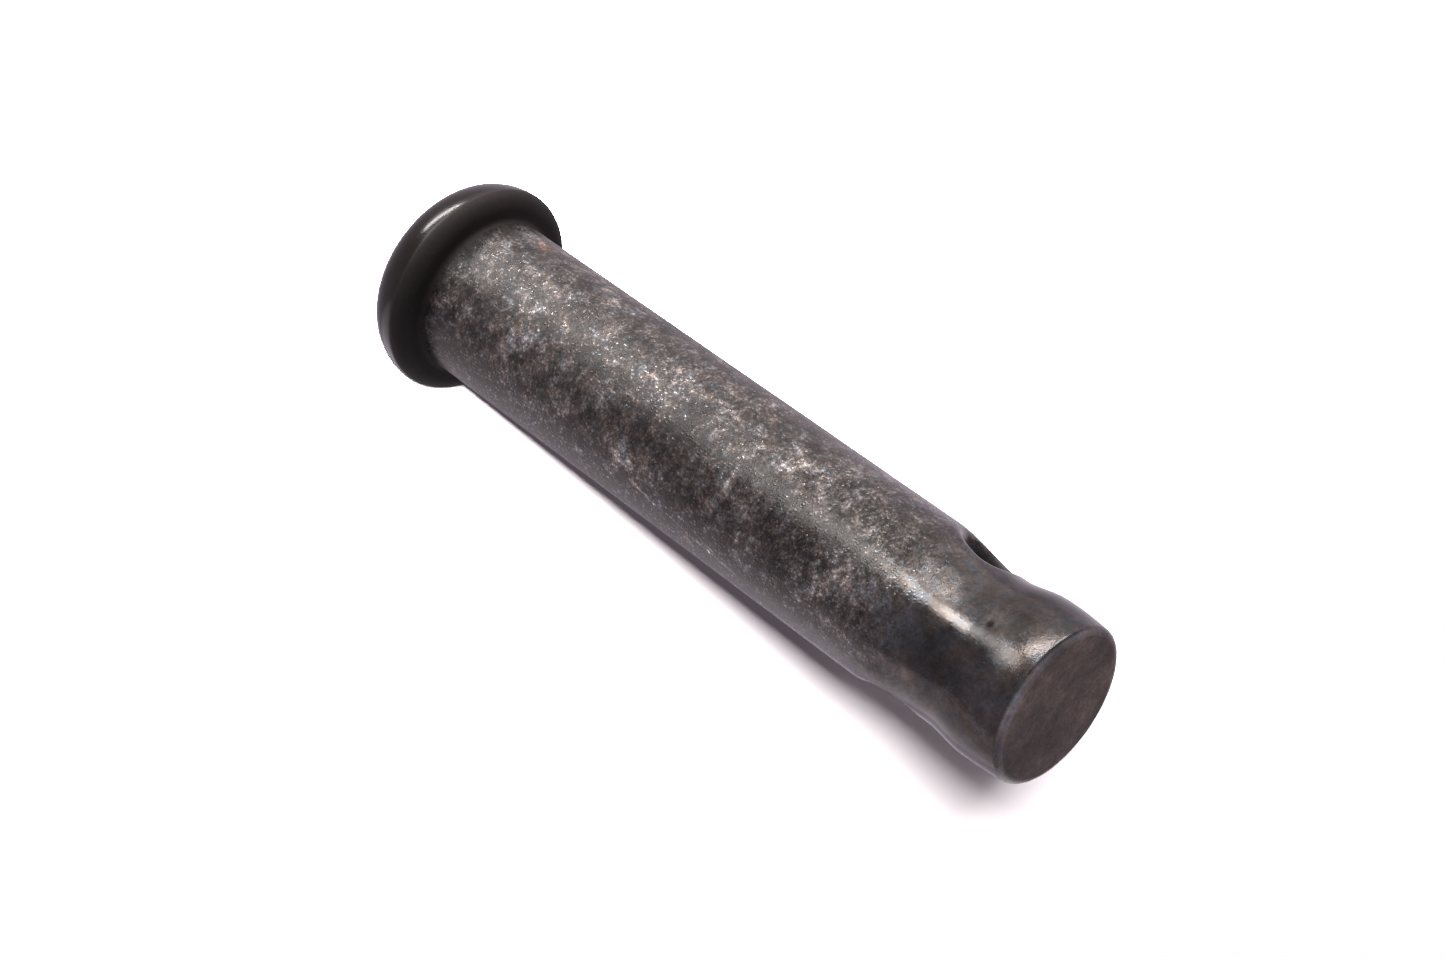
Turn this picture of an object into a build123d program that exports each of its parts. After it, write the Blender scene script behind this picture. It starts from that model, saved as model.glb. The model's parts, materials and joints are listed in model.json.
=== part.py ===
from build123d import *
import os

# Clevis pin: a cold headed and turned steel pin, standing on its head.
# Millimetres. +Z runs from the head to the tip, and the origin is the centre
# of the head's outer face. The cotter hole runs along X.

# Shank and grip
shank_diameter = 9.5
grip_length = 44.0

# Head, from its outer face to the seat that bears on the clevis
head_height = 3.3
face_edge_width = 1.75
under_edge_radius = 0.95
seat_width = 0.35
root_size = 0.3

# Cotter hole and its rolled mouths
cotter_hole_diameter = 3.2
cotter_hole_to_tip = 7.65
mouth_radius = 0.5

# Shallow waist that the piercing of the hole drew into the shank
waist_depth = 0.32
waist_to_tip = 5.4
waist_run_in = 2.6

# Tip, a little under the shank's size, crowned over to a small bevel round its flat face
tip_relief = 0.06
crown_length = 2.85
crown_drop = 0.17
tip_bevel = 0.15

# Sizes that follow from the ones above
shank_radius = shank_diameter / 2
seat_inner_radius = shank_radius + root_size
seat_outer_radius = seat_inner_radius + seat_width
head_radius = seat_outer_radius + under_edge_radius
face_radius = head_radius - face_edge_width
rim_height = head_height - under_edge_radius
root_height = head_height + root_size
overall_length = head_height + grip_length
hole_height = overall_length - cotter_hole_to_tip
waist_start = hole_height - waist_run_in
waist_height = overall_length - waist_to_tip
waist_radius = shank_radius - waist_depth
crown_end = overall_length - tip_bevel
crown_start = crown_end - crown_length
crown_radius = shank_radius - tip_relief
tip_edge_radius = crown_radius - crown_drop
tip_face_radius = tip_edge_radius - tip_bevel


def head_outline():
    """Half section of the head, from its axis out over the rim and in to the shank."""
    outer_face = Line((0, 0), (face_radius, 0))
    face_edge = EllipticalCenterArc(
        (face_radius, rim_height), face_edge_width, rim_height, start_angle=270, arc_size=90
    )
    under_edge = CenterArc((seat_outer_radius, rim_height), under_edge_radius, 0, 90)
    seat = Line((seat_outer_radius, head_height), (seat_inner_radius, head_height))
    root = Line((seat_inner_radius, head_height), (shank_radius, root_height))
    return [outer_face, face_edge, under_edge, seat, root]


def shank_outline():
    """Half section of the shank, from the head's root over the waist to the tip's axis."""
    straight = Line((shank_radius, root_height), (shank_radius, waist_start))
    waist = Spline(
        (shank_radius, waist_start),
        (waist_radius, waist_height),
        (crown_radius, crown_start),
        tangents=[(0, 1), (0, 1)],
    )
    crown = TangentArc((crown_radius, crown_start), (tip_edge_radius, crown_end), tangent=(0, 1))
    bevel = Line((tip_edge_radius, crown_end), (tip_face_radius, overall_length))
    tip_face = Line((tip_face_radius, overall_length), (0, overall_length))
    axis = Line((0, overall_length), (0, 0))
    return [straight, waist, crown, bevel, tip_face, axis]


def blank():
    """The pin before its hole is pierced: one revolved section, its seam clear of the mouths."""
    section = make_face(head_outline() + shank_outline())
    return revolve(Plane.YZ * section, Axis.Z)


def pierce(pin):
    """Cuts the cotter hole along X and rounds the two mouths where it breaks out."""
    drill_length = 2 * shank_diameter
    drill = Pos(0, 0, hole_height) * Rot(0, 90, 0) * Cylinder(cotter_hole_diameter / 2, drill_length)
    drilled = pin - drill
    mouths = drilled.edges() - drilled.edges().filter_by(GeomType.CIRCLE)
    mouths = mouths.filter_by_position(
        Axis.Z, hole_height - cotter_hole_diameter, hole_height + cotter_hole_diameter
    ).filter_by(lambda edge: abs(edge.center().X) > waist_radius / 2)
    return fillet(mouths, mouth_radius)


clevis_pin = pierce(blank())

os.makedirs("parts", exist_ok=True)
export_step(clevis_pin, "parts/clevis_pin.step")
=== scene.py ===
import json
import math

import bmesh
import bpy
import numpy as np
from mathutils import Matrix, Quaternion, Vector


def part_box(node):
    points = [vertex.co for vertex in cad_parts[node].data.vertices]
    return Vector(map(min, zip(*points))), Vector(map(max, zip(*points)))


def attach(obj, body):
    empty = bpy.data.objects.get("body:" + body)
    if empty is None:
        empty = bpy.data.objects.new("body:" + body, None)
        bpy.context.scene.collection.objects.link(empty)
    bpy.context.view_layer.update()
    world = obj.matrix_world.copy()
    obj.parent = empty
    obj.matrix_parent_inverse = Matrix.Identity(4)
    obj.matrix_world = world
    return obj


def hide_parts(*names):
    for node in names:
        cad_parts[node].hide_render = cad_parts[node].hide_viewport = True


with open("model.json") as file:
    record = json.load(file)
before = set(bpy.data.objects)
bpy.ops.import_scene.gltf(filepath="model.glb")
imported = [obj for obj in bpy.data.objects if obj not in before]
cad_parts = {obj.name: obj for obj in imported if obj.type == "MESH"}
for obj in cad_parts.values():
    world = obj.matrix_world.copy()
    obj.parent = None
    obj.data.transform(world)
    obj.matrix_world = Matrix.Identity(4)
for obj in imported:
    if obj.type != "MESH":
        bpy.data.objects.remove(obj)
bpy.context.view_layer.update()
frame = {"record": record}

scene = bpy.context.scene
mm = 0.001
mounts = {mount["name"]: mount for mount in frame["record"]["mounts"]}
print("frame loaded")


# Node maths
class Wire:
    # one output socket, so that node maths reads as an expression

    def __init__(self, sheet, socket):
        self.sheet = sheet
        self.socket = socket

    def __add__(self, other):
        return self.sheet.maths("ADD", self, other)

    def __radd__(self, other):
        return self.sheet.maths("ADD", other, self)

    def __sub__(self, other):
        return self.sheet.maths("SUBTRACT", self, other)

    def __rsub__(self, other):
        return self.sheet.maths("SUBTRACT", other, self)

    def __mul__(self, other):
        return self.sheet.maths("MULTIPLY", self, other)

    def __rmul__(self, other):
        return self.sheet.maths("MULTIPLY", other, self)

    def __rtruediv__(self, other):
        return self.sheet.maths("DIVIDE", other, self)


class NodeSheet:
    # a node tree that is filled from Python, for materials and geometry alike

    def __init__(self, tree):
        self.tree = tree

    def add(self, kind, settings=None, sockets=None, output=0):
        # the settings come first, then the values and links of the sockets
        node = self.tree.nodes.new(kind)
        for name, value in (settings or {}).items():
            setattr(node, name, value)
        for key, value in (sockets or {}).items():
            if isinstance(value, Wire):
                self.tree.links.new(value.socket, node.inputs[key])
            else:
                node.inputs[key].default_value = value
        return Wire(self, node.outputs[output]) if len(node.outputs) else None

    def other(self, wire, name):
        # another output of the node that a wire comes from
        return Wire(self, wire.socket.node.outputs[name])

    def axes(self, vector):
        x = self.add("ShaderNodeSeparateXYZ", None, {"Vector": vector})
        return x, self.other(x, "Y"), self.other(x, "Z")

    def maths(self, operation, first, second=0.0):
        return self.add("ShaderNodeMath", {"operation": operation}, {0: first, 1: second})

    def ease(self, value, start, end):
        # 0 before start, 1 after end, smooth between; start may be above end
        return self.add(
            "ShaderNodeMapRange",
            {"interpolation_type": "SMOOTHSTEP"},
            {"Value": value, "From Min": start, "From Max": end},
        )

    def mixColour(self, factor, first, second):
        # sockets 6 and 7 and output 2 are the ones that carry colours
        return self.add("ShaderNodeMix", {"data_type": "RGBA"}, {0: factor, 6: first, 7: second}, 2)

    def vectorMaths(self, operation, sockets, output="Vector"):
        return self.add("ShaderNodeVectorMath", {"operation": operation}, sockets, output)

    def scaleVector(self, vector, factor):
        return self.vectorMaths("SCALE", {0: vector, "Scale": factor})

    def shiftVector(self, vector, offset):
        return self.vectorMaths("ADD", {0: vector, 1: offset})


def blankSheet(owner):
    # an empty node sheet for a material or the world
    owner.use_nodes = True
    owner.node_tree.nodes.clear()
    return NodeSheet(owner.node_tree)


def blend(first, second, share):
    # from the first value to the second as the share goes from 0 to 1
    return first + share * (second - first)


# Camera
cameraSizes = {
    "place": (-15.50 * mm, -130.25 * mm, 106.27 * mm),
    "aim": (0, -4.34 * mm, 26.23 * mm),
    "roll": 125.83,  # degrees
    "focalPixels": 2900,  # focal length in pixels of the picture
    "imageWidth": 1445,
    "sensorWidth": 36,
    "clipStart": 5 * mm,
}


def makeCamera(sizes):
    data = bpy.data.cameras.new("photoCamera")
    data.sensor_width = sizes["sensorWidth"]
    data.lens = sizes["focalPixels"] / sizes["imageWidth"] * sizes["sensorWidth"]
    data.clip_start = sizes["clipStart"]
    camera = bpy.data.objects.new("photoCamera", data)
    scene.collection.objects.link(camera)
    place = Vector(sizes["place"])
    turn = (Vector(sizes["aim"]) - place).to_track_quat("-Z", "Y")
    roll = Quaternion((0, 0, 1), math.radians(sizes["roll"]))
    camera.rotation_mode = "QUATERNION"
    camera.rotation_quaternion = turn @ roll
    camera.location = place
    scene.camera = camera


makeCamera(cameraSizes)
print("camera placed")


# Pin, in millimetres until its mesh is written
pinSizes = {
    "faceEdgeWidth": 1.75,  # outer face to the rim, measured across
    "underEdge": 0.95,
    "rootRadius": 0.3,
    "mouthRadius": 0.5,
    "mouthLead": 0.75,  # the mouths are rolled wider toward the head
    "mouthTuck": 0.22,  # and tighter toward the tip
    "waistDepth": 0.32,
    "waistToTip": 5.4,
    "waistRunIn": 2.6,
    "waistLag": 0.75,  # between the mouths the waist lies nearer the tip
    "crownLag": 1.15,  # and so does the crown
    "tipRelief": 0.06,
    "crownLength": 2.85,
    "crownDrop": 0.17,
    "tipBevel": 0.15,
    "faceRound": 0.40,  # worn edge of the tip face
    "dishDepth": 0.17,  # extra dip beside one mouth, where the punch went in
    "dishPastHole": 1.7,
    "dishReach": 2.1,
    "faceLean": 0.2,  # the tip is sheared a little out of square
    "faceHighSide": (0.94, 0.34),
    "columns": 192,  # from here on, how finely the mesh is divided
    "rowPitch": 0.38,
    "faceShares": (0.15, 0.4, 0.65, 0.85, 0.97),
    "faceEdgePoints": 22,
    "underEdgePoints": 16,
    "rootPoints": 7,
    "roundRings": 8,
    "windowColumns": 40,  # each mouth sits in a window of the shank's grid
    "windowRows": 40,
    "windowReach": 3.3,
    "landRings": 7,
    "mouthRings": 9,
    "wallRows": 22,
}


def easeArray(value):
    value = np.clip(value, 0, 1)
    return value * value * (3 - 2 * value)


class PinForm:
    # every radius and height of the pin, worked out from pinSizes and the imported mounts

    def __init__(self, sizes):
        vars(self).update(sizes)
        self.radius = mounts["shank"]["dims"]["r_mm"]
        self.holeRadius = mounts["cotter_hole"]["dims"]["r_mm"]
        self.holeHeight = mounts["cotter_hole"]["pos_m"][2] / mm
        self.headHeight = mounts["head_seat"]["pos_m"][2] / mm
        low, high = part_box("clevis_pin")
        self.length = high[2] / mm
        self.headRadius = min(high[0], -low[0]) / mm
        self.faceRadius = self.headRadius - self.faceEdgeWidth
        self.rimHeight = self.headHeight - self.underEdge
        self.seatOuter = self.headRadius - self.underEdge
        self.waistStart = self.holeHeight - self.waistRunIn
        self.waistHeight = self.length - self.waistToTip
        self.crownEnd = self.length - self.tipBevel
        self.crownStart = self.crownEnd - self.crownLength
        self.crownRadius = self.radius - self.tipRelief
        self.windowLow = self.holeHeight - self.windowReach
        self.windowHigh = self.holeHeight + self.windowReach
        self.dishHeight = self.holeHeight + self.dishPastHole
        self.discRadius = self.crownRadius - self.crownDrop - self.faceRound

    def shankRadius(self, height, angle):
        # radius of the outer skin at a height and an angle from +X
        between = np.sin(angle) ** 2
        waistHeight = self.waistHeight + self.waistLag * between
        crownStart = self.crownStart + self.crownLag * between
        runIn = easeArray((height - self.waistStart) / (waistHeight - self.waistStart))
        runOut = easeArray((height - waistHeight) / (crownStart - waistHeight))
        waist = self.radius - self.waistDepth * runIn
        waist = waist + (self.waistDepth - self.tipRelief) * runOut
        crown = np.clip((height - crownStart) / (self.crownEnd - crownStart), 0, 1)
        punchedSide = np.clip(-np.cos(angle), 0, 1) ** 2
        dish = self.dishDepth * np.exp(-(((height - self.dishHeight) / self.dishReach) ** 2))
        return waist - self.crownDrop * crown ** 2 - punchedSide * dish

    def skinX(self, across, height, side):
        # how far out the skin is over a point of the hole's side view, closer with each round
        rounds = 5
        leastSquare = 0.01  # keeps the root real
        reach = self.radius
        for step in range(rounds):
            outward = np.sqrt(np.maximum(reach ** 2 - across ** 2, leastSquare))
            reach = self.shankRadius(height, np.arctan2(side * across, side * outward))
        return np.sqrt(reach ** 2 - across ** 2)


def arcPoints(centre, radii, start, end, count):
    turns = np.radians(np.linspace(start, end, count))
    across = centre[0] + radii[0] * np.cos(turns)
    return list(zip(across, centre[1] + radii[1] * np.sin(turns)))


def headSection(form):
    # half section from near the middle of the outer face to the foot of the shank
    face = [(form.faceRadius * share, 0) for share in form.faceShares]
    faceEdgeCentre = (form.faceRadius, form.rimHeight)
    faceEdgeRadii = (form.faceEdgeWidth, form.rimHeight)
    faceEdge = arcPoints(faceEdgeCentre, faceEdgeRadii, 270, 360, form.faceEdgePoints)
    underEdgeCentre = (form.seatOuter, form.rimHeight)
    underEdgeRadii = (form.underEdge, form.underEdge)
    underEdge = arcPoints(underEdgeCentre, underEdgeRadii, 0, 90, form.underEdgePoints)[1:]
    rootCentre = (form.radius + form.rootRadius, form.headHeight + form.rootRadius)
    rootRadii = (form.rootRadius, form.rootRadius)
    root = arcPoints(rootCentre, rootRadii, 270, 180, form.rootPoints)
    return face + faceEdge + underEdge + root


class MeshLot:
    # points and faces gathered before the mesh is made

    def __init__(self):
        self.points = []
        self.faces = []

    def addRow(self, points):
        first = len(self.points)
        self.points.extend(points)
        return list(range(first, len(self.points)))

    def bridge(self, lower, upper):
        # quads between two closed rows of the same length
        for step in range(len(lower)):
            after = (step + 1) % len(lower)
            self.faces.append((lower[step], lower[after], upper[after], upper[step]))

    def bridgeAll(self, rows):
        for lower, upper in zip(rows, rows[1:]):
            self.bridge(lower, upper)

    def fan(self, ring, centre):
        for step in range(len(ring)):
            self.faces.append((ring[step], ring[(step + 1) % len(ring)], centre))


def ringPoints(form, height, radius=None):
    # a ring on the pin's skin, or at a radius of its own
    angles = np.arange(form.columns) * 2 * math.pi / form.columns
    if radius is None:
        reach = form.shankRadius(height, angles)
    else:
        reach = np.full(form.columns, radius)
    levels = np.full(form.columns, height)
    return np.stack([reach * np.cos(angles), reach * np.sin(angles), levels], 1)


def headAndGrip(form, lot):
    # rings from the outer face over the head and up the shank to the mouths
    rings = [lot.addRow(ringPoints(form, height, radius)) for radius, height in headSection(form)]
    straightLow = form.headHeight + form.rootRadius
    count = round((form.windowLow - straightLow) / form.rowPitch)
    for height in np.linspace(straightLow, form.windowLow, count + 1)[1:]:
        rings.append(lot.addRow(ringPoints(form, height)))
    lot.bridgeAll(rings)
    return rings[0], rings[-1]


def inWindow(form, column):
    # whether a column of the mouths' band is left open, round +X and round -X
    fromWindow = (column + form.windowColumns // 2) % (form.columns // 2)
    return fromWindow < form.windowColumns


def windowPath(form):
    # once round a window: columns from the mouth's middle, and rows
    half = form.windowColumns // 2
    path = [(column, 0) for column in range(-half, half)]
    path += [(half, row) for row in range(form.windowRows)]
    path += [(column, form.windowRows) for column in range(half, -half, -1)]
    path += [(-half, row) for row in range(form.windowRows, 0, -1)]
    return path


def mouthRows(form, lot, border, side):
    # rings from a window's border over the land and the rolled mouth into the hole
    angles = np.array([point[0] for point in border])
    heights = np.array([point[1] for point in border])
    sideTurn = 0 if side > 0 else math.pi
    outerAcross = form.shankRadius(heights, angles + sideTurn) * np.sin(angles)
    outerUp = heights - form.holeHeight
    spoke = np.arctan2(form.radius * np.sin(angles), outerUp)
    across, up = np.sin(spoke), np.cos(spoke)
    roll = form.mouthRadius + form.mouthLead * np.clip(-up, 0, 1) ** 2
    roll = roll - form.mouthTuck * np.clip(up, 0, 1) ** 2
    mouthEdge = form.holeRadius + roll
    rings = []
    for step in range(1, form.landRings + 1):
        share = step / form.landRings
        landAcross = outerAcross * (1 - share) + mouthEdge * across * share
        landUp = outerUp * (1 - share) + mouthEdge * up * share
        rings.append((landAcross, landUp, form.skinX(landAcross, form.holeHeight + landUp, side)))

    # each roll is a curve that leaves the land at its own slope and ends along the hole
    lip = rings[-1][2]
    nudge = 0.02  # how far past the lip the slope is measured
    beyond = mouthEdge + nudge
    slope = (form.skinX(beyond * across, form.holeHeight + beyond * up, side) - lip) / nudge
    corner = lip - slope * roll
    for step in range(1, form.mouthRings + 1):
        share = step / form.mouthRings
        rest = 1 - share
        radius = form.holeRadius + roll * rest ** 2
        depth = lip * rest ** 2 + corner * 2 * share * rest + (corner - roll) * share ** 2
        rings.append((radius * across, radius * up, depth))
    rows = []
    for ringAcross, ringUp, reach in rings:
        points = np.stack([side * reach, side * ringAcross, form.holeHeight + ringUp], 1)
        rows.append(lot.addRow(points))
    return rows


def mouthBand(form, lot, lowest):
    # the stretch of shank with both mouths, whose grid is opened round them
    levels = np.linspace(form.windowLow, form.windowHigh, form.windowRows + 1)
    band = [lowest] + [lot.addRow(ringPoints(form, height)) for height in levels[1:]]
    for lower, upper in zip(band, band[1:]):
        for column in range(form.columns):
            if not inWindow(form, column):
                after = (column + 1) % form.columns
                lot.faces.append((lower[column], lower[after], upper[after], upper[column]))
    columnTurn = 2 * math.pi / form.columns
    path = windowPath(form)
    border = [(column * columnTurn, levels[row]) for column, row in path]
    holeEdges = []
    for side, middle in ((1, 0), (-1, form.columns // 2)):
        edge = [band[row][(middle + column) % form.columns] for column, row in path]
        rows = mouthRows(form, lot, border, side)
        lot.bridgeAll([edge] + rows)
        holeEdges.append(rows[-1])
    return band[-1], holeEdges


def holeWall(form, lot, holeEdges):
    # joins each point of one edge to the one straight across
    near, far = holeEdges
    path = windowPath(form)
    farAt = dict(zip(path, far))
    opposite = [farAt[(-column, row)] for column, row in path]
    start = np.array([lot.points[index] for index in near])
    end = np.array([lot.points[index] for index in opposite])
    rows = [near]
    for step in range(1, form.wallRows):
        share = step / form.wallRows
        rows.append(lot.addRow(start * (1 - share) + end * share))
    lot.bridgeAll(rows + [opposite])


def crownAndTip(form, lot, lowest):
    # rings from the mouths over the crown and the worn edge into the tip face
    rings = [lowest]
    roundStart = form.length - form.faceRound
    count = 2 * round((roundStart - form.windowHigh) / form.rowPitch)
    for height in np.linspace(form.windowHigh, roundStart, count + 1)[1:]:
        rings.append(lot.addRow(ringPoints(form, height)))
    foot = ringPoints(form, roundStart)
    footReach = np.linalg.norm(foot[:, :2], axis=1)[:, None]
    for turn in np.radians(np.linspace(0, 90, form.roundRings + 1)[1:]):
        edge = foot.copy()
        edge[:, :2] *= 1 - form.faceRound * (1 - math.cos(turn)) / footReach
        edge[:, 2] = roundStart + form.faceRound * math.sin(turn)
        rings.append(lot.addRow(edge))
    for share in reversed(form.faceShares):
        inner = edge.copy()
        inner[:, :2] *= share
        rings.append(lot.addRow(inner))
    lot.bridgeAll(rings)
    return rings[-1]


def leanTip(form, points):
    # shears the tip a little out of square, low on the punched side
    share = np.clip((points[:, 2] - form.crownStart) / (form.length - form.crownStart), 0, 1)
    toHighSide = points[:, 0] * form.faceHighSide[0] + points[:, 1] * form.faceHighSide[1]
    low = np.clip((form.radius - toHighSide) / (2 * form.radius), 0, 1)
    points[:, 2] -= form.faceLean * share ** 2 * low
    return points


def makePinMesh(form):
    lot = MeshLot()
    faceRing, gripTop = headAndGrip(form, lot)
    bandTop, holeEdges = mouthBand(form, lot, gripTop)
    holeWall(form, lot, holeEdges)
    tipRing = crownAndTip(form, lot, bandTop)
    tipCentre = lot.addRow([(0, 0, form.length)])[0]
    lot.fan(tipRing, tipCentre)
    faceCentre = lot.addRow([(0, 0, 0)])[0]
    lot.fan(faceRing[::-1], faceCentre)

    points = leanTip(form, np.array(lot.points, float))
    mesh = bpy.data.meshes.new("pinBlank")
    mesh.from_pydata((points * mm).tolist(), [], lot.faces)
    build = bmesh.new()
    build.from_mesh(mesh)
    loose = [vert for vert in build.verts if not vert.link_faces]  # inside the two windows
    bmesh.ops.delete(build, geom=loose, context="VERTS")
    bmesh.ops.recalc_face_normals(build, faces=build.faces)
    build.to_mesh(mesh)
    build.free()
    mesh.shade_smooth()
    return mesh


pinForm = PinForm(pinSizes)
pinMesh = makePinMesh(pinForm)
print("pin blank:", len(pinMesh.polygons), "faces")


# Steel, with every size in millimetres
steelLook = {
    # tones, which the levels are multiplied by
    "warmTone": (1.32, 1.0, 0.78, 1),
    "coolTone": (0.94, 0.985, 1.05, 1),
    "coolFromTint": 0.65,  # what the tint noise says of the tone; the coat's depth says the rest
    "coolTint": (0.4, 0.6),
    "coolDepth": (-1.2, 1.6),
    "tipCoolness": 0.2,
    "rustTone": (1.75, 0.95, 0.55, 1),
    "rustPlace": (-4.45, -1.67, 6.6),
    "rustReach": 1.1,
    "rustStrength": 0.6,
    # levels: how pale each stretch is
    "shankLevel": 0.052,
    "tipLevel": 0.067,
    "discLevel": 0.088,
    # the head's own near-black coat, kept this dark partly as painted shade over the seat
    "headLevel": 0.009,
    "edgeLevel": 0.16,  # worn edge round the tip face; its paler colour is partly wear, partly painted sheen
    "holeShade": 0.75,  # how much darker the hole's wall is painted, as painted shade
    # mottle, clouds and specks in the coat
    "mottleNoise": {"size": 1.05, "detail": 5, "roughness": 0.95, "shift": (12, 44, 8)},
    "cloudNoise": {"size": 4.5, "detail": 2, "roughness": 0.5, "shift": (3, 7, 11)},
    "tintNoise": {"size": 0.9, "detail": 5, "roughness": 0.85, "shift": (71, 3, 19)},
    "mottleContrast": 13,
    "mottleLoss": 0.78,  # how much of the mottle has worn off at the tip
    "discMottle": 0.12,
    "headMottle": 0.15,
    "cloudContrast": 2.0,
    "tipClouds": 0.2,  # how much stronger the clouds are at the tip
    "speckSize": 0.17,
    "speckEdge": (0.62, 0.25),
    "speckChance": (0.45, 0.95),  # which cells hold a speck
    "speckContrast": 1.5,
    "speckMean": 0.15,
    "specksInDark": 4,  # how much more the specks show where the mottle is dark
    "speckLoss": 0.9,
    "ragged": 1.5,  # how far the clouds' borders wander
    "sharpReach": 1,  # a mark smaller than this keeps a clean border
    # roughness
    "shankRoughness": 0.44,
    "tipRoughness": 0.18,
    "headRoughness": 0.20,
    "seatRoughness": 0.75,
    "discRoughness": 0.5,
    "mottleRoughness": 0.9,
    "speckGloss": 0.28,
    "tipEvenness": 0.75,  # how much evener the tip's gloss is
    "crownBlur": 0.04,
    "edgeBlur": 0.1,
    "holeBlur": 0.4,
    # bare metal at the worn tip, and grains of it that sparkle in the coat
    "tipShine": 0.85,
    "discCover": 0.8,  # how far the tip face is still coated
    "edgeShine": 0.25,
    "grainShine": 0.85,
    "speckGrain": 0.5,
    "mottleGrain": 0.3,
    "grainMottle": (0.48, 0.62),
    # fine relief
    "bumpStrength": 0.5,
    "bumpDepth": 0.04,
    "speckRelief": 0.7,
    "reliefLoss": 0.85,  # how much of the fine relief has worn off at the tip
    "indexOfRefraction": 1.45,
    # where each finish starts and where it is full, past the height or radius that it goes by
    "borders": {
        "coat": (-0.3, 2.3),  # past the seat; the darker level here is partly the head's own coat, partly painted shade at the shank's foot
        "seat": (0.1, 0.5),
        "rim": (0.25, -0.05),  # past the rim's widest ring, downward
        "worn": (-20, 1.0),  # past the middle of the hole
        "bare": (-4.5, 1.5),
        "crown": (4.2, 5.6),
        "hole": (0.25, 0),  # past the hole's wall, inward
        "top": (-0.5, -0.4),  # past the tip
        "rubbed": (-0.45, -0.25),
        "disc": (0.06, -0.06),  # past the edge of the tip face, inward
    },
    # pale clouds in the coat, painted shade in a band on the -Y side of the grip, and a small dark
    # spot: middle, reach and how much paler it is there
    "clouds": {
        "paleByHead": ((-2.2, -4.2, 10.0), 2.2, 0.70),
        "paleUnderHead": ((0.6, -4.7, 11.3), 1.8, 0.60),
        "paleGrip": ((-2.4, -4.1, 20.4), 2.8, 0.90),
        "paleMiddle": ((-2.9, -3.8, 28.5), 1.8, 0.65),
        "paleNearHole": ((1.2, -4.6, 34.8), 1.5, 0.65),
        "paleScuff": ((2.2, -4.2, 20.0), 1.3, 0.95),
        # painted shade: the next three darken a band on the -Y side of the grip, below the ridge
        # highlight
        "darkGrip": ((-0.1, -4.75, 19.6), 2.0, -0.55),
        "darkMiddle": ((0.8, -4.7, 24.4), 3.2, -0.62),
        "darkPastMiddle": ((0.3, -4.7, 30.4), 2.8, -0.65),
        # a small dark spot near the tip, in colour only, with no pit in the geometry
        "pit": ((-1.87, -4.13, 43.58), 0.28, -1.6),
    },
    # light scrapes along the grip: both ends, width and strength
    "scrapes": {
        "long": ((3.39, -3.33, 23.3), (3.98, -2.59, 30.0), 0.14, 1.5),
        "short": ((2.99, -3.69, 24.6), (3.74, -2.92, 28.1), 0.12, 1.2),
        "first": ((2.99, -3.69, 20.6), (3.45, -3.27, 23.5), 0.14, 1.1),
    },
    # duller patches of the worn tip: middle, reach and how much rougher
    "dullPatches": {
        "underCrown": ((-1.1, -4.55, 45.3), 1.1, 0.11),
        "besideWaist": ((-2.1, -4.0, 40.5), 1.5, 0.10),
    },
}


def noiseWire(sheet, place, noise, lacunarity=2.3):
    moved = sheet.shiftVector(place, noise["shift"])
    sockets = {"Vector": moved, "Scale": 1 / noise["size"], "Detail": noise["detail"]}
    sockets.update({"Roughness": noise["roughness"], "Lacunarity": lacunarity})
    return sheet.add("ShaderNodeTexNoise", None, sockets)


def near(sheet, place, middle, reach, core=0.25):
    # 1 within the core's share of the reach, 0 past the reach
    gap = sheet.vectorMaths("DISTANCE", {0: place, 1: middle}, "Value")
    return sheet.ease(gap, reach, reach * core)


def scrapeWire(sheet, place, start, end, width, core=0.3, fade=0.3):
    # 1 along the line between two points, fading out at both ends
    run = Vector(end) - Vector(start)
    aim = tuple(run.normalized())
    fromStart = sheet.shiftVector(place, tuple(-value for value in start))
    across = sheet.vectorMaths("CROSS_PRODUCT", {0: fromStart, 1: aim})
    off = sheet.vectorMaths("LENGTH", {0: across}, "Value")
    along = sheet.vectorMaths("DOT_PRODUCT", {0: fromStart, 1: aim}, "Value")
    fadeLength = fade * run.length
    ends = sheet.ease(along, 0, fadeLength) * sheet.ease(along, run.length, run.length - fadeLength)
    return sheet.ease(off, width, width * core) * ends


class PinZones:
    # masks from 0 to 1 that say where on the pin each finish shows, and where sheen and shade are
    # painted

    def __init__(self, sheet, place, borders, form):
        def beyond(value, mark, name):
            start, full = borders[name]
            return sheet.ease(value, mark + start, mark + full)

        x, y, z = sheet.axes(place)
        reach = sheet.maths("SQRT", x * x + y * y)
        fromHole = z - form.holeHeight
        fromHoleAxis = sheet.maths("SQRT", y * y + fromHole * fromHole)
        self.offHead = beyond(z, form.headHeight, "coat")
        self.offSeat = beyond(z, form.headHeight, "seat")
        self.onRim = beyond(z, form.rimHeight, "rim")
        self.worn = beyond(z, form.holeHeight, "worn")
        self.nearTip = beyond(z, form.holeHeight, "bare")
        self.crowned = beyond(z, form.holeHeight, "crown")
        self.inHole = beyond(fromHoleAxis, form.holeRadius, "hole")
        self.onDisc = beyond(z, form.length, "top") * beyond(reach, form.discRadius, "disc")
        self.rubbed = beyond(z, form.length, "rubbed") * (1 - self.onDisc)


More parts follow.
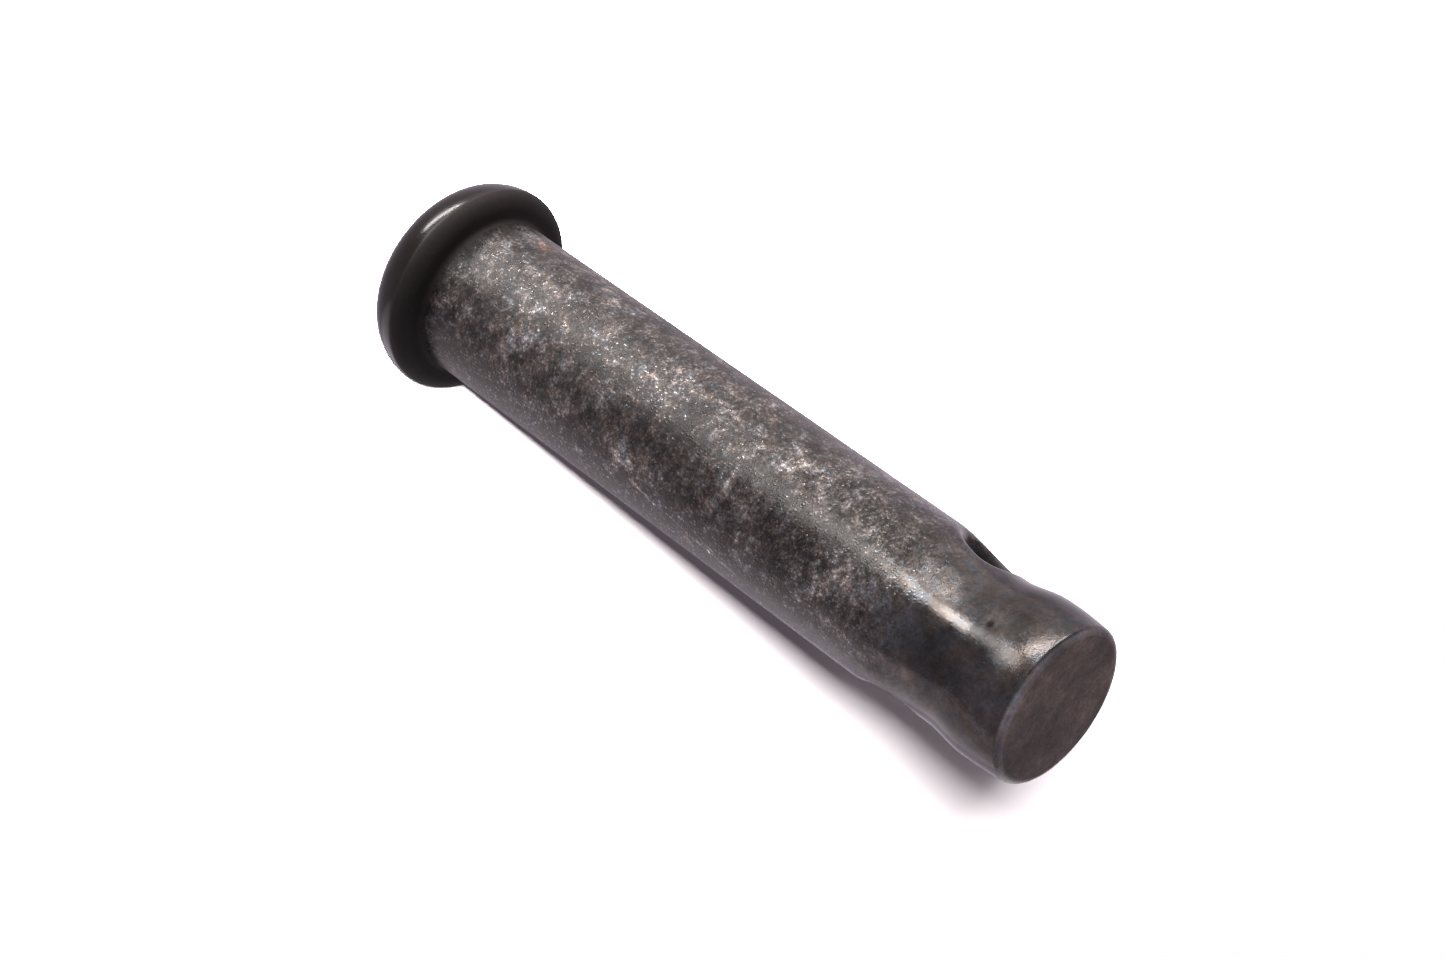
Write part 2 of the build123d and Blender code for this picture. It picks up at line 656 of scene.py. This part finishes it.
class CoatPattern:
    # the noises that the coat is made of, and the places that they are read at

    def __init__(self, sheet, place, look):
        self.place = place
        self.mottle = noiseWire(sheet, place, look["mottleNoise"])
        self.swing = self.mottle - 0.5  # about the mottle's middle
        self.cloud = noiseWire(sheet, place, look["cloudNoise"])
        self.tint = noiseWire(sheet, place, look["tintNoise"])
        cells = {"Vector": place, "Scale": 1 / look["speckSize"]}
        gap = sheet.add("ShaderNodeTexVoronoi", None, cells)
        chance = sheet.axes(sheet.other(gap, "Color"))[0]
        self.speck = sheet.ease(gap, *look["speckEdge"]) * sheet.ease(chance, *look["speckChance"])
        spread = sheet.scaleVector(sheet.other(self.tint, "Color"), look["ragged"])
        back = (-0.5 * look["ragged"],) * 3
        self.ragged = sheet.shiftVector(sheet.shiftVector(place, back), spread)


def coatDepth(sheet, look, zone, coat):
    # how pale, above 0, or how dark, below 0, the coat is at each spot, painted shade included
    strength = 1 - zone.nearTip * look["mottleLoss"] + zone.onDisc * look["discMottle"]
    depth = coat.swing * look["mottleContrast"] * strength
    depth = depth + (coat.cloud - 0.5) * look["cloudContrast"] * (1 + zone.nearTip * look["tipClouds"])
    specks = (coat.speck - look["speckMean"]) * look["speckContrast"]
    specks = specks * (1 - coat.swing * look["specksInDark"])
    depth = depth + specks * (1 - zone.nearTip * look["speckLoss"])
    # pale clouds, painted shade on the -Y side of the grip, and a small dark spot
    for middle, reach, amount in look["clouds"].values():
        place = coat.place if reach < look["sharpReach"] else coat.ragged
        depth = depth + near(sheet, place, middle, reach) * amount
    for start, end, width, amount in look["scrapes"].values():
        scrape = scrapeWire(sheet, coat.place, start, end, width)
        depth = depth + scrape * (1 + coat.swing) * amount
    return depth


def coatColour(sheet, look, zone, coat, depth):
    level = blend(look["shankLevel"], look["tipLevel"], zone.nearTip)
    # the worn edge round the tip face, painted paler: partly wear, partly painted sheen
    level = blend(level, look["edgeLevel"], zone.rubbed)
    level = blend(level, look["discLevel"], zone.onDisc)
    # painted shade inside the hole
    level = level * (1 - zone.inHole * look["holeShade"])
    # the head and the shank's foot above it are darker: partly the head's own coat, partly painted
    # shade in the seat and the root
    level = blend(look["headLevel"], level, zone.offHead)
    shown = blend(look["headMottle"], 1, zone.offSeat)
    level = level * sheet.maths("EXPONENT", depth * shown)
    byTint = sheet.ease(coat.tint, *look["coolTint"])
    byDepth = sheet.ease(depth, *look["coolDepth"])
    coolness = blend(byDepth, byTint, look["coolFromTint"]) + zone.nearTip * look["tipCoolness"]
    coolness = coolness * (1 - zone.onDisc) * zone.offSeat
    tone = sheet.mixColour(coolness, look["warmTone"], look["coolTone"])
    rust = near(sheet, coat.ragged, look["rustPlace"], look["rustReach"]) * look["rustStrength"]
    return sheet.scaleVector(sheet.mixColour(rust, tone, look["rustTone"]), level)


def coatRoughness(sheet, look, zone, coat):
    rough = blend(look["shankRoughness"], look["tipRoughness"], zone.worn)
    uneven = coat.swing * look["mottleRoughness"] - coat.speck * look["speckGloss"]
    rough = rough + uneven * (1 - zone.nearTip * look["tipEvenness"])
    rough = rough + zone.crowned * look["crownBlur"] + zone.rubbed * look["edgeBlur"]
    rough = rough + zone.inHole * look["holeBlur"]
    for middle, reach, amount in look["dullPatches"].values():
        rough = rough + near(sheet, coat.place, middle, reach) * amount
    rough = blend(rough, look["discRoughness"], zone.onDisc)
    headRough = blend(look["seatRoughness"], look["headRoughness"], zone.onRim)
    return blend(headRough, rough, zone.offSeat)


def bareMetal(sheet, look, zone, coat):
    # the worn tip, and grains in the coat
    tip = zone.nearTip * look["tipShine"] * (1 - zone.onDisc * look["discCover"])
    grain = sheet.ease(coat.mottle, *look["grainMottle"]) * look["mottleGrain"]
    grain = (grain + coat.speck * look["speckGrain"]) * look["grainShine"]
    bare = tip * (1 - zone.inHole) + grain * (1 - zone.nearTip) * zone.offHead
    return blend(bare, look["edgeShine"], zone.rubbed)


def coatBump(sheet, look, zone, coat):
    relief = coat.mottle + coat.speck * look["speckRelief"]
    relief = relief * (1 - zone.nearTip * look["reliefLoss"]) * zone.offSeat
    depths = {"Strength": look["bumpStrength"], "Distance": look["bumpDepth"] * mm}
    return sheet.add("ShaderNodeBump", None, {**depths, "Height": relief})


def makeSteel(look, form):
    material = bpy.data.materials.new("phosphatedSteel")
    sheet = blankSheet(material)
    place = sheet.scaleVector(sheet.add("ShaderNodeTexCoord", output="Object"), 1 / mm)
    zone = PinZones(sheet, place, look["borders"], form)
    coat = CoatPattern(sheet, place, look)
    depth = coatDepth(sheet, look, zone, coat)
    finish = {
        "Base Color": coatColour(sheet, look, zone, coat, depth),
        "Roughness": coatRoughness(sheet, look, zone, coat),
        "Metallic": bareMetal(sheet, look, zone, coat),
        "Normal": coatBump(sheet, look, zone, coat),
        "IOR": look["indexOfRefraction"],
    }
    shader = sheet.add("ShaderNodeBsdfPrincipled", None, finish)
    sheet.add("ShaderNodeOutputMaterial", None, {"Surface": shader})
    return material


steel = makeSteel(steelLook, pinForm)
print("steel mixed")


# Relief: slow waves and shallow dents that the blank gets from Geometry Nodes
reliefSizes = {
    "Wave Depth": 0.025 * mm,
    "Wave Size": 4.5 * mm,
    "Dent Depth": 0.012 * mm,
    "Dent Size": 1.3 * mm,
    "Dent Start": 0.56,  # of the dents' noise
    "Dent Full": 0.72,
    "Head Height": pinForm.headHeight * mm,
    "Head Fade": 2 * mm,  # the relief grows over this above the head
    "Head Share": 0.3,  # what the head has of it
    "Hole Height": pinForm.holeHeight * mm,
    "Tip Fade": 4 * mm,  # the dents end over this below the hole
    "Seed": 4.0,
}


def makeReliefTree(sizes):
    tree = bpy.data.node_groups.new("wornRelief", "GeometryNodeTree")
    tree.interface.new_socket("Geometry", in_out="INPUT", socket_type="NodeSocketGeometry")
    for name in sizes:
        tree.interface.new_socket(name, in_out="INPUT", socket_type="NodeSocketFloat")
    tree.interface.new_socket("Finish", in_out="INPUT", socket_type="NodeSocketMaterial")
    tree.interface.new_socket("Geometry", in_out="OUTPUT", socket_type="NodeSocketGeometry")
    sheet = NodeSheet(tree)
    group = tree.nodes.new("NodeGroupInput")
    given = {socket.name: Wire(sheet, socket) for socket in group.outputs if socket.name}
    place = sheet.add("GeometryNodeInputPosition")
    normal = sheet.add("GeometryNodeInputNormal")
    seeded = {"noise_dimensions": "4D"}
    noise = {"Vector": place, "Detail": 1.0, "W": given["Seed"]}
    waves = sheet.add("ShaderNodeTexNoise", seeded, {**noise, "Scale": 1 / given["Wave Size"]})
    dents = sheet.add("ShaderNodeTexNoise", seeded, {**noise, "Scale": 1 / given["Dent Size"]})
    height = sheet.axes(place)[2]
    head = given["Head Height"]
    hole = given["Hole Height"]
    offHead = sheet.ease(height, head, head + given["Head Fade"])
    offTip = sheet.ease(height, hole, hole - given["Tip Fade"])
    dented = sheet.ease(dents, given["Dent Start"], given["Dent Full"]) * offTip
    sunk = waves * given["Wave Depth"] + dented * given["Dent Depth"]
    sunk = sunk * blend(given["Head Share"], 1, offHead)
    push = sheet.scaleVector(normal, 0 - sunk)
    moved = sheet.add("GeometryNodeSetPosition", None, {"Geometry": given["Geometry"], "Offset": push})
    real = sheet.add("GeometryNodeRealizeInstances", None, {"Geometry": moved})
    dressing = {"Geometry": real, "Material": given["Finish"]}
    dressed = sheet.add("GeometryNodeSetMaterial", None, dressing)
    sheet.add("NodeGroupOutput", None, {0: dressed})
    return tree


def applyTree(piece, tree, values):
    # sets the inputs by identifier, keeps the evaluated mesh and takes the modifier off
    modifier = piece.modifiers.new(tree.name, "NODES")
    modifier.node_group = tree
    for item in tree.interface.items_tree:
        if item.item_type == "SOCKET" and item.in_out == "INPUT" and item.name in values:
            modifier[item.identifier] = values[item.name]
    depsgraph = bpy.context.evaluated_depsgraph_get()
    mesh = bpy.data.meshes.new_from_object(piece.evaluated_get(depsgraph))
    piece.modifiers.remove(modifier)
    mesh.name = piece.name
    piece.data = mesh


pin = bpy.data.objects.new("pinBody", pinMesh)
scene.collection.objects.link(pin)
applyTree(pin, makeReliefTree(reliefSizes), {**reliefSizes, "Finish": steel})
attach(pin, "root")
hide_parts("clevis_pin")
print("pin finished:", len(pin.data.polygons), "faces")


# Floor: lit within the first reach, and plain white past the second
floorLook = {
    "size": 4.0,
    "litReach": (0.115, 0.165),
    "colour": (0.24, 0.222, 0.228, 1),
}


def makeFloor(look):
    half = look["size"] / 2
    corners = [(-half, -half, 0), (half, -half, 0), (half, half, 0), (-half, half, 0)]
    mesh = bpy.data.meshes.new("floor")
    mesh.from_pydata(corners, [], [(0, 1, 2, 3)])
    floor = bpy.data.objects.new("floor", mesh)
    scene.collection.objects.link(floor)
    material = bpy.data.materials.new("paleFloor")
    sheet = blankSheet(material)
    paint = sheet.add("ShaderNodeBsdfDiffuse", None, {"Color": look["colour"]})
    toCamera = sheet.add("ShaderNodeLightPath", output="Is Camera Ray")
    white = sheet.add("ShaderNodeEmission", None, {"Strength": toCamera})
    place = sheet.add("ShaderNodeTexCoord", output="Object")
    distance = sheet.vectorMaths("LENGTH", {0: place}, "Value")
    far = sheet.ease(distance, *look["litReach"])
    surface = sheet.add("ShaderNodeMixShader", None, {0: far, 1: paint, 2: white})
    sheet.add("ShaderNodeOutputMaterial", None, {"Surface": surface})
    mesh.materials.append(material)
    floor.visible_glossy = False  # the world stands in for it in the pin's gloss
    floor.visible_diffuse = False  # and lights the pin from below
    return floor


# World: white to the camera and, low behind the pin, in its gloss too
worldLook = {
    "skyLight": 0.37,
    "skyTint": (1.0, 0.88, 1.02, 1),
    "frontGloss": 0.335,  # what the gloss shows on the camera's side
    "behind": (-0.5, 1.3),  # along Y, from the camera's side to the far one
    "right": (-0.1, 0.6),  # along X, where the far side is shaded again
    "rightShade": 0.65,
    "low": (0.4, -0.1),  # along Z
}


def makeWorld(look):
    world = bpy.data.worlds.new("studioWorld")
    sheet = blankSheet(world)
    toCamera = sheet.add("ShaderNodeLightPath", output="Is Camera Ray")
    inGloss = sheet.other(toCamera, "Is Glossy Ray")
    white = toCamera + sheet.other(toCamera, "Is Transmission Ray")
    x, y, z = sheet.axes(sheet.add("ShaderNodeTexCoord", output="Object"))
    behind = sheet.ease(y, *look["behind"]) * (1 - look["rightShade"] * sheet.ease(x, *look["right"]))
    shown = blend(look["frontGloss"], 1, behind * sheet.ease(z, *look["low"]))
    strength = look["skyLight"] * (1 - white) * (1 - inGloss) + white + inGloss * shown
    colour = sheet.mixColour(white, look["skyTint"], (1, 1, 1, 1))
    background = sheet.add("ShaderNodeBackground", None, {"Color": colour, "Strength": strength})
    sheet.add("ShaderNodeOutputWorld", None, {"Surface": background})
    scene.world = world


floor = makeFloor(floorLook)
makeWorld(worldLook)
print("floor and world ready")


# Lamps: azimuth, height and metres away are as seen from the middle of the pin
lampTable = {
    "windowCard": {
        "azimuth": -158, "height": -22, "away": 0.30, "size": (0.54, 0.31), "turn": 0,
        "watts": 0.335, "tint": (1, 0.93, 0.87), "lights": "pin",
    },
    "ridgeTube": {
        "azimuth": -114.5, "height": -20.5, "away": 0.268, "size": (0.06, 0.065), "turn": 0,
        "watts": 0.185, "tint": (1, 0.97, 0.94), "lights": "pin",
    },
    "lowTube": {
        "azimuth": -115, "height": -34, "away": 0.32, "size": (0.07, 0.08), "turn": 0,
        "watts": 0.06, "tint": (1, 0.97, 0.95), "lights": "pin",
    },
    "crownTube": {
        "azimuth": -155, "height": -5.0, "away": 0.265, "size": (0.29, 0.013), "turn": -14,
        "watts": 0.42, "tint": (1, 0.95, 0.92), "lights": "pin",
    },
    "rimCard": {
        "azimuth": -141.5, "height": -51.3, "away": 0.14, "size": (0.075, 0.0085), "turn": -28,
        "watts": 0.08, "tint": (1, 0.96, 0.93), "lights": "pin",
    },
    "bounceCard": {
        "azimuth": 10, "height": -30, "away": 0.25, "size": (0.28, 0.22), "turn": 0,
        "watts": 0.12, "tint": (1, 0.89, 0.91), "lights": "pin",
    },
    "backCard": {
        "azimuth": 55, "height": 12, "away": 0.40, "size": (0.20, 0.30), "turn": 0,
        "watts": 0.14, "tint": (1, 0.96, 0.90), "lights": "pin",
    },
    "floorKey": {
        "azimuth": -100.1, "height": 32.0, "away": 0.155, "size": (0.012, 0.012), "turn": 0,
        "watts": 14, "tint": (1, 1, 1), "lights": "floor",
    },
    "floorFill": {
        "azimuth": -104, "height": 32.0, "away": 0.155, "size": (0.03, 0.03), "turn": 0,
        "watts": 0.8, "tint": (1, 1, 1), "lights": "floor",
    },
}


def linkGroup(name, member):
    # a collection that says what a lamp lights or what blocks it
    group = bpy.data.collections.new(name)
    group.objects.link(member)
    return group


def makeLamps(table, middle):
    groups = {"pin": linkGroup("pinGroup", pin), "floor": linkGroup("floorGroup", floor)}
    for name, row in table.items():
        data = bpy.data.lights.new(name, "AREA")
        data.shape = "RECTANGLE"
        data.size, data.size_y = row["size"]
        data.energy = row["watts"]
        data.color = row["tint"]
        lamp = bpy.data.objects.new(name, data)
        scene.collection.objects.link(lamp)
        azimuth, height = math.radians(row["azimuth"]), math.radians(row["height"])
        level = math.cos(height)
        toward = Vector((level * math.cos(azimuth), level * math.sin(azimuth), math.sin(height)))
        turn = Quaternion((0, 0, 1), math.radians(row["turn"]))
        lamp.location = middle + toward * row["away"]
        lamp.rotation_mode = "QUATERNION"
        lamp.rotation_quaternion = toward.to_track_quat("Z", "Y") @ turn
        lamp.visible_camera = False
        lamp.light_linking.receiver_collection = groups[row["lights"]]
        lamp.light_linking.blocker_collection = groups["pin"]


makeLamps(lampTable, Vector((0, 0, 0.5 * pinForm.length * mm)))
scene.view_settings.view_transform = "Standard"
print("lamps ready")
